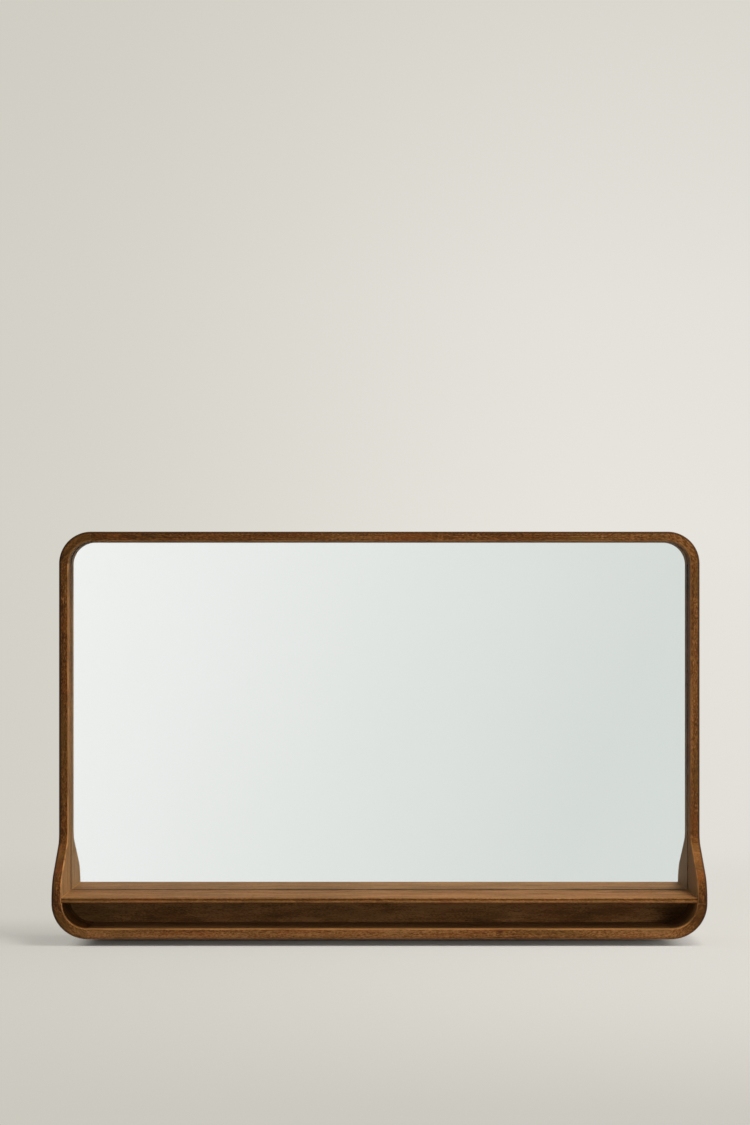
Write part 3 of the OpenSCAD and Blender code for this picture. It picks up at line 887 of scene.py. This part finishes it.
# %% [markdown]
# ## Lower rail
# The lower rail fills the back of the niche from cheek to cheek. Its two lower corners follow the round
# blocks, so a block with two rounded edges gives its shape. All of it counts as an inner face, so it has the
# painted light of the inner faces, and it is painted darker towards the bottom, as shade in the niche.

# %% Lower rail
# Painted shade: the niche's back is darker towards the bottom
RAIL_PAINTED_SHADE = 0.0, 0.17
RAIL_SPAN = 18 * MM, 42 * MM

lower_rail = block("lower_rail_wood", lower_low, lower_high)
round_edges(lower_rail, lambda e: runs(e, 1) and near(middle(e).z, lower_low.z), BASE_R - BASE_T, SPIN_STEPS)
round_edges(lower_rail, lambda e: in_plane(e, 1, BACK_Y) and runs(e, 0), BACK_ROUND, BACK_STEPS)
rest()
mark_arris(lower_rail, lambda p: WALL, WALL)
finish = wood("lower_rail_wood", shift=(4.4, 0.01, 0.06), tone=("Z", *RAIL_SPAN, *RAIL_PAINTED_SHADE))
settle(lower_rail, "frame", "shelf_wood", finish, "lower_rail")

# %% [markdown]
# ## Mirror
# A mirror is a sheet of clear glass with silver on its back. One polished metal face would reflect as well,
# but it would lose the thin dark line between the shelf and its own reflection. That line is the
# thickness of the glass. So the pane is a real slab with polished edges: its back face is silver,
# and the rest is glass.

# %% Mirror
PANE_EDGE = 0.6 * MM
PANE_STEPS = 2
SILVER_IN = 0.05 * MM
HAZE_CELLS = 9
MOST_HAZE = 0.004
CLOUD_CELLS = 6
FACES_BACK = 0.9

pane_r = TOP_R - LIP - (HALF_W - LIP - glass_high.x)
pane = block("mirror_pane", glass_low, glass_high - Vector((0, SILVER_IN, 0)))
round_edges(pane, lambda e: runs(e, 1) and near(middle(e).z, glass_high.z), pane_r, SPIN_STEPS)
round_edges(pane, lambda e: in_plane(e, 1, glass_low.y), PANE_EDGE, PANE_STEPS)
rest()

glass, f = new_finish("clear_glass")
haze = f.noise(f.place(), scale=HAZE_CELLS, detail=2)
f.surface(Base_Color=tint(252, 253, 252), Roughness=MOST_HAZE * haze, IOR=1.52, Transmission_Weight=1.0)

silver, f = new_finish("silver_backing")
cloud = f.noise(f.place(), scale=CLOUD_CELLS, detail=3)
f.surface(Base_Color=f.mix(cloud, tint(243, 248, 245), tint(246, 250, 248)), Metallic=1.0, Roughness=0.0)
settle(pane, "frame", "mirror", [glass, silver], "mirror_glass")
for face in pane.data.polygons:
    face.material_index = 1 if face.normal.y > FACES_BACK else 0

# %% [markdown]
# ## Small parts: backing board, hangers, screws, pads, tapes and dowels
# These nodes already have their exact shape, but their edges are razor sharp, and no sawn or stamped edge is.
# They could be modelled again, but a copy keeps each one exact. The copy's mesh is welded, its triangles
# are joined into flat faces, and a narrow bevel breaks its edges.

# %% Softened copies
SOFT_STEPS = 2


def softened(node, name, width):
    """A copy of a node's mesh with its edges broken."""
    rest()
    source = frame["nodes"][node]
    piece = source.copy()
    piece.data = source.data.copy()
    piece.name = name
    for key in [key for key in piece.keys() if key.startswith("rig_")]:
        del piece[key]
    bpy.context.scene.collection.objects.link(piece)
    piece.select_set(True)
    bpy.context.view_layer.objects.active = piece
    bpy.ops.object.mode_set(mode="EDIT")
    bpy.ops.mesh.select_all(action="SELECT")
    bpy.ops.mesh.remove_doubles(threshold=NEAR)
    bpy.ops.mesh.dissolve_limited(angle_limit=IN_ONE_FACE)
    rest()
    apply_modifier(piece, "BEVEL", width=width, segments=SOFT_STEPS, limit_method="ANGLE",
                   angle_limit=SHARP_OVER, use_clamp_overlap=True)
    return piece


# %% [markdown]
# Hardboard is felted from fibres, so its noise has no direction, apart from a few longer chips. Zinc plate
# shows a cloudy crystal pattern, which a Voronoi texture gives. Foam, rubber and raw beech
# are even, so one finish with a fine noise serves all three.

# %% Finishes of the small parts


def fibreboard():
    """Brown hardboard: felted fibres with a smooth pressed face."""
    material, f = new_finish("fibreboard")
    at = f.place()
    felt = f.noise(at, scale=900, detail=3)
    chips = f.ease(f.noise(f.stretch(at, 700, 260), detail=2), 0.6, 0.72)
    cloud = f.noise(at, scale=7, detail=3)
    colour = f.mix(felt, tint(122, 92, 60), tint(158, 124, 86))
    colour = f.mix(0.5 * cloud, colour, tint(134, 98, 62))
    colour = f.mix(0.5 * chips, colour, tint(82, 58, 36))
    f.surface(Base_Color=colour, Roughness=0.62 + 0.2 * felt, Normal=f.bump(felt, 0.3, 0.2 * MM))
    return material


def plated_steel(name, dark=tint(148, 150, 152), bright=tint(196, 197, 198)):
    """Zinc-plated steel: a cloudy crystal pattern, small scratches and dull patches."""
    material, f = new_finish(name)
    at = f.place()
    spangle = f.node("TexVoronoi", inputs={"Vector": at, "Scale": 700}, output="Color")
    spangle = f.node("RGBToBW", inputs={0: spangle})
    scratch = f.ease(f.noise(f.stretch(at, 120, 2400), detail=2), 0.58, 0.68)
    dull = f.noise(at, scale=120, detail=3)
    colour = f.mix(0.6 * spangle + 0.3 * dull, dark, bright)
    f.surface(Base_Color=colour, Metallic=1.0, Roughness=0.3 + 0.2 * dull + 0.12 * scratch,
              Normal=f.bump(dull - 0.4 * scratch, 0.15, 0.1 * MM))
    return material


def plain_matter(name, dark, bright, roughness, cells, depth):
    """Foam, rubber and raw beech: a fine even texture between two near colours."""
    material, f = new_finish(name)
    at = f.place()
    fine = f.noise(at, scale=cells, detail=3)
    slow = f.noise(at, scale=cells / 12, detail=2)
    f.surface(Base_Color=f.mix(0.6 * fine + 0.4 * slow, dark, bright), Roughness=roughness + 0.15 * fine,
              Normal=f.bump(fine, 0.4, depth))
    return material


board_finish = fibreboard()
steel = plated_steel("zinc_plate")
screw_steel = plated_steel("screw_steel", tint(120, 121, 124), tint(186, 187, 189))
rubber = plain_matter("pad_rubber", tint(34, 34, 35), tint(62, 61, 60), 0.7, 1500, 0.1 * MM)
foam = plain_matter("foam_tape", tint(222, 221, 214), tint(242, 241, 236), 0.8, 2200, 0.2 * MM)
beech = plain_matter("beech", tint(188, 150, 108), tint(216, 184, 142), 0.6, 700, 0.1 * MM)

# %% Small parts: node, width of the broken edge, slot and finish
for node, width, slot, finish in (
        ("backing_board", 0.4 * MM, "fibreboard", board_finish),
        ("left_hanger", 0.25 * MM, "steel", steel),
        ("right_hanger", 0.25 * MM, "steel", steel),
        ("hanger_screws", 0.12 * MM, "steel", screw_steel),
        ("base_screws", 0.15 * MM, "steel", screw_steel),
        ("wall_pads", 0.3 * MM, "pad_rubber", rubber),
        ("foam_tapes", 0.2 * MM, "foam_tape", foam),
        ("upper_dowels", 0.5 * MM, "dowel_wood", beech),
        ("lower_dowels", 0.5 * MM, "dowel_wood", beech)):
    settle(softened(node, node + "_soft", width), "frame", slot, finish, node)

# %% [markdown]
# ## Turn buttons and their screws
# Six stamped steel buttons swivel over the backing board's edge and hold it in its rebate. One button is
# modelled at the origin, pointing along X: a flat block with two full-round ends and a hole. A disc with
# a domed rim and a cross slit is the head of its screw. Each place gets a copy of both with its own
# mesh, and the copy is turned there. The heads are turned more or less, as real screws are.

# %% One turn button and one screw head
BUTTON_L, BUTTON_W, BUTTON_T = 26 * MM, 7.5 * MM, 1.5 * MM
HEAD_R, HEAD_T, SCREW_R = 3 * MM, 1.8 * MM, 1.5 * MM
RUN_GAP = 0.08 * MM
HOLE_R = SCREW_R + RUN_GAP
END_STEPS = 14
STAMPED_ROUND = 0.25 * MM
DOME, DOME_STEPS = 1.1 * MM, 5
SLIT_REACH, SLIT_HALF_W = 1.5 * MM, 0.375 * MM
SLIT_FROM, SLIT_TO = 1 * MM, 3 * MM


def cut_out(piece, cutter):
    """Takes the cutter's shape out of the piece."""
    apply_modifier(piece, "BOOLEAN", operation="DIFFERENCE", object=cutter, solver="EXACT")
    rest()
    cutter.select_set(True)
    bpy.ops.object.delete()


# A hair under half the width keeps the two arcs of an end from sharing a point
half = BUTTON_W / 2
END_ROUND = 0.999 * half
button = block("button", (-half, 0, -half), (BUTTON_L - half, BUTTON_T, half))
round_edges(button, lambda e: runs(e, 1), END_ROUND, END_STEPS)
rest()
hole = rod("hole", (0, -BUTTON_T, 0), HOLE_R, 3 * BUTTON_T)
rest()
cut_out(button, hole)
apply_modifier(button, "BEVEL", width=STAMPED_ROUND, segments=SOFT_STEPS, limit_method="ANGLE",
               angle_limit=SHARP_OVER)

screw = rod("screw", (0, 0, 0), HEAD_R, HEAD_T)
round_edges(screw, lambda e: in_plane(e, 1, HEAD_T), DOME, DOME_STEPS)
rest()
for x, z in ((SLIT_REACH, SLIT_HALF_W), (SLIT_HALF_W, SLIT_REACH)):
    slit = block("slit", (-x, SLIT_FROM, -z), (x, SLIT_TO, z))
    rest()
    cut_out(screw, slit)
print(f"button {len(button.data.polygons)} faces, screw head {len(screw.data.polygons)} faces")

# %% Six turn buttons and their screw heads
# Radians that a slit turns for each metre that its screw lies to the right, and up
TURN_X, TURN_Z = 2.4, 5

pivots = {joint["child"]: Vector(joint["pos_m"]) for joint in frame["joints"]}
heads = []
for body, pivot in pivots.items():
    low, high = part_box(body)
    reach = (low + high) / 2 - pivot
    copy = button.copy()
    copy.data = button.data.copy()
    copy.name = body + "_steel"
    bpy.context.scene.collection.objects.link(copy)
    copy.rotation_euler = (0, -atan2(reach.z, reach.x), 0)
    copy.location = (pivot.x, low.y, pivot.z)
    head = screw.copy()
    head.data = screw.data.copy()
    head.name = body + "_screw"
    bpy.context.scene.collection.objects.link(head)
    head.rotation_euler = (0, TURN_X * pivot.x + TURN_Z * pivot.z, 0)
    head.location = (pivot.x, high.y + RUN_GAP, pivot.z)
    heads.append(head)
    rest()
    for made in (copy, head):
        made.select_set(True)
    bpy.context.view_layer.objects.active = copy
    bpy.ops.object.transform_apply(location=True, rotation=True, scale=True)
    settle(copy, body, "steel", steel, body)

rest()
for head in heads:
    head.select_set(True)
bpy.context.view_layer.objects.active = heads[0]
bpy.ops.object.join()
heads[0].name = "button_screw_heads"
settle(heads[0], "frame", "steel", screw_steel, "button_screws")
for spare in (button, screw):
    bpy.data.objects.remove(spare)

# %% [markdown]
# ## Floor
# The object hangs, and the plain pale floor lies 8 mm under it. The camera sees the floor nearly solid right
# under the object, so that the gap is dark, and partly clear beside it, so that its shadow is soft. Far off
# the floor is all clear and runs into the background without a line. It is clear to the mirror too.
# A small sheet would be simpler, but its edge would show.

# %% Floor
FLOOR_Z = -8 * MM
FLOOR_R = 6
FLOOR_SIDES = 96
# Where the floor fades out, and how clear it is under the object and beside it
FADE_FROM, FADE_TO = 0.35, 1.5
UNDER, BESIDE = 0.065, 0.6
END_FROM, END_TO = HALF_W - 55 * MM, HALF_W - 15 * MM
BEYOND_FROM, BEYOND_TO = BACK_Y + 5 * MM, BACK_Y + 30 * MM
CORE_FROM, CORE_TO = -5 * MM, 20 * MM

rest()
bpy.ops.mesh.primitive_circle_add(vertices=FLOOR_SIDES, radius=FLOOR_R, fill_type="NGON",
                                  location=(0, 0, FLOOR_Z))
floor = bpy.context.object
floor.name = "floor"

material, f = new_finish("floor")
at = f.place()
distance = f.node("VectorMath", {"operation": "LENGTH"}, {0: at}, output=1)
eye = f.node("LightPath", output="Is Camera Ray")
in_gloss = f.node("LightPath", output="Is Glossy Ray")
through_glass = f.node("LightPath", output="Is Transmission Ray")
unseen = in_gloss.most(through_glass)
from_middle = f.node("SeparateXYZ", inputs={0: f.node("VectorMath", {"operation": "ABSOLUTE"}, {0: at})})
aside, along_y = (Value(f, from_middle.socket.node.outputs[axis]) for axis in "XY")

# How clear the floor is, where 0 is solid and 1 can't be seen: least along the middle of the object
beyond = f.ease(aside, END_FROM, END_TO).most(f.ease(along_y, BEYOND_FROM, BEYOND_TO))
under = UNDER * f.ease(along_y, CORE_FROM, CORE_TO)
close = under + (BESIDE - under) * beyond
clear = unseen.most((close + (1 - close) * f.ease(distance, FADE_FROM, FADE_TO)) * eye)

grain = f.noise(at, scale=60, detail=3)
shown = f.mix(grain, tint(177, 174, 168), tint(181, 178, 172))
matt = f.node("BsdfDiffuse", inputs={"Color": f.mix(eye, tint(188, 184, 176), shown)})
both = f.node("MixShader", inputs={0: clear, 1: matt, 2: f.node("BsdfTransparent")})
f.node("OutputMaterial", inputs={"Surface": both})
floor.data.materials.append(material)
print(f"floor at {FLOOR_Z / MM:.0f} mm")

# %% [markdown]
# ## Background
# One colour would have to be the wall, the view in the mirror and the fill light at once, so the Light
# Path node tells them apart. The camera and glossy rays see a pale wall, lighter at middle height and
# darker at the left, where a soft shadow of the object is painted on it. Rays through the glass see an even,
# bright tone, a little lighter to the left and above, as the mirror shows. All other rays get the fill light,
# which softens the shadows.

# %% What the camera sees, and what the mirror shows
world = bpy.data.worlds.new("room")
bpy.context.scene.world = world
world.use_nodes = True
f = Finish(world.node_tree)
split = f.node("SeparateXYZ", inputs={0: f.node("TexCoord", output="Generated")})
to_right, to_back, upward = (Value(f, split.socket.node.outputs[axis]) for axis in "XYZ")

# Height of the view from -0.3 to 0.3, and the wall's colour there
REACH = 0.3
heights = [(-0.18, (203, 200, 192)), (-0.135, (215, 212, 205)), (-0.08, (226, 223, 216)),
           (0.04, (231, 228, 221)), (0.13, (228, 225, 218)), (0.24, (218, 215, 207))]
stops = [((z + REACH) / (2 * REACH), tint(*shade)) for z, shade in heights]
wall = f.node("ValToRGB", {"stops": stops}, {0: (upward + REACH) / (2 * REACH)})
# A painted soft shadow of the object: the wall darker at the left
LEFT_SHADOW_SHARE = 0.7
LEFT_FROM, LEFT_TO = -0.17, 0.1
wall = f.mix(LEFT_SHADOW_SHARE * (1 - f.ease(to_right, LEFT_FROM, LEFT_TO)), wall, tint(203, 200, 190))

# Level of the view in the mirror, and how its red and blue go with it
VIEW_LEVEL, VIEW_TO_LEFT, VIEW_UP = 0.85, 0.85, 0.3
VIEW_LEAST, VIEW_MOST = 0.76, 0.97
RED_GAIN, RED_LESS = 1.2, 0.16
BLUE_GAIN, BLUE_LESS = 1.1, 0.08
view = (VIEW_LEVEL - VIEW_TO_LEFT * to_right + VIEW_UP * upward).most(VIEW_LEAST).least(VIEW_MOST)
red, blue = RED_GAIN * view - RED_LESS, BLUE_GAIN * view - BLUE_LESS
view = f.node("CombineXYZ", inputs={0: red, 1: view, 2: blue})
print(f"wall of {len(stops)} colours by height")

# %% Fill light, and one background for all
# Fill from all round, from both sides, from the right alone, from above and from behind
FILL_EVEN, FILL_SIDES, FILL_RIGHT, FILL_ABOVE, FILL_BACK = 0.06, 0.4, 0.15, 0.35, 0.22
BRIGHT_FROM, BRIGHT_GAIN = 0.8, 36
FILL_BLUE = 0.98

fill = FILL_EVEN + FILL_SIDES * to_right * to_right + FILL_RIGHT * to_right.most(0)
fill = fill + FILL_ABOVE * upward.most(0) + FILL_BACK * to_back.most(0)
fill = fill + BRIGHT_GAIN * (to_right - BRIGHT_FROM).most(0)
fill = f.node("CombineXYZ", inputs={0: fill, 1: fill, 2: fill * FILL_BLUE})
eye = f.node("LightPath", output="Is Camera Ray")
in_gloss = f.node("LightPath", output="Is Glossy Ray")
through_glass = f.node("LightPath", output="Is Transmission Ray")
shown = f.mix(eye.most(in_gloss), fill, wall)
shown = f.mix(through_glass, shown, view)
sky = f.node("Background", inputs={"Color": shown, "Strength": 1.0})
f.node("OutputWorld", inputs={"Surface": sky})

# %% [markdown]
# ## Lamps
# The photograph has one broad light from the right and above, which leaves a soft shadow to the left. A small
# weak lamp low in front lights the fronts of the wood a little. The lamps are hidden from glossy and
# transmission rays, because the mirror would show them as bright squares.

# %% Lamps, and how the picture is shown
AIM = Vector((0, 0, 0.2))
for at, size, power in (((0.9, -0.3, 2.6), 1.0, 80), ((1.0, -1.3, 0.3), 0.5, 6)):
    bpy.ops.object.light_add(type="AREA", location=at)
    lamp = bpy.context.object
    lamp.data.size = size
    lamp.data.energy = power
    lamp.visible_glossy = False
    lamp.visible_transmission = False
    lamp.rotation_euler = (AIM - lamp.location).to_track_quat("-Z", "Y").to_euler()
    print(f"lamp of {power} W, {size} m wide")

bpy.context.scene.view_settings.view_transform = "Standard"
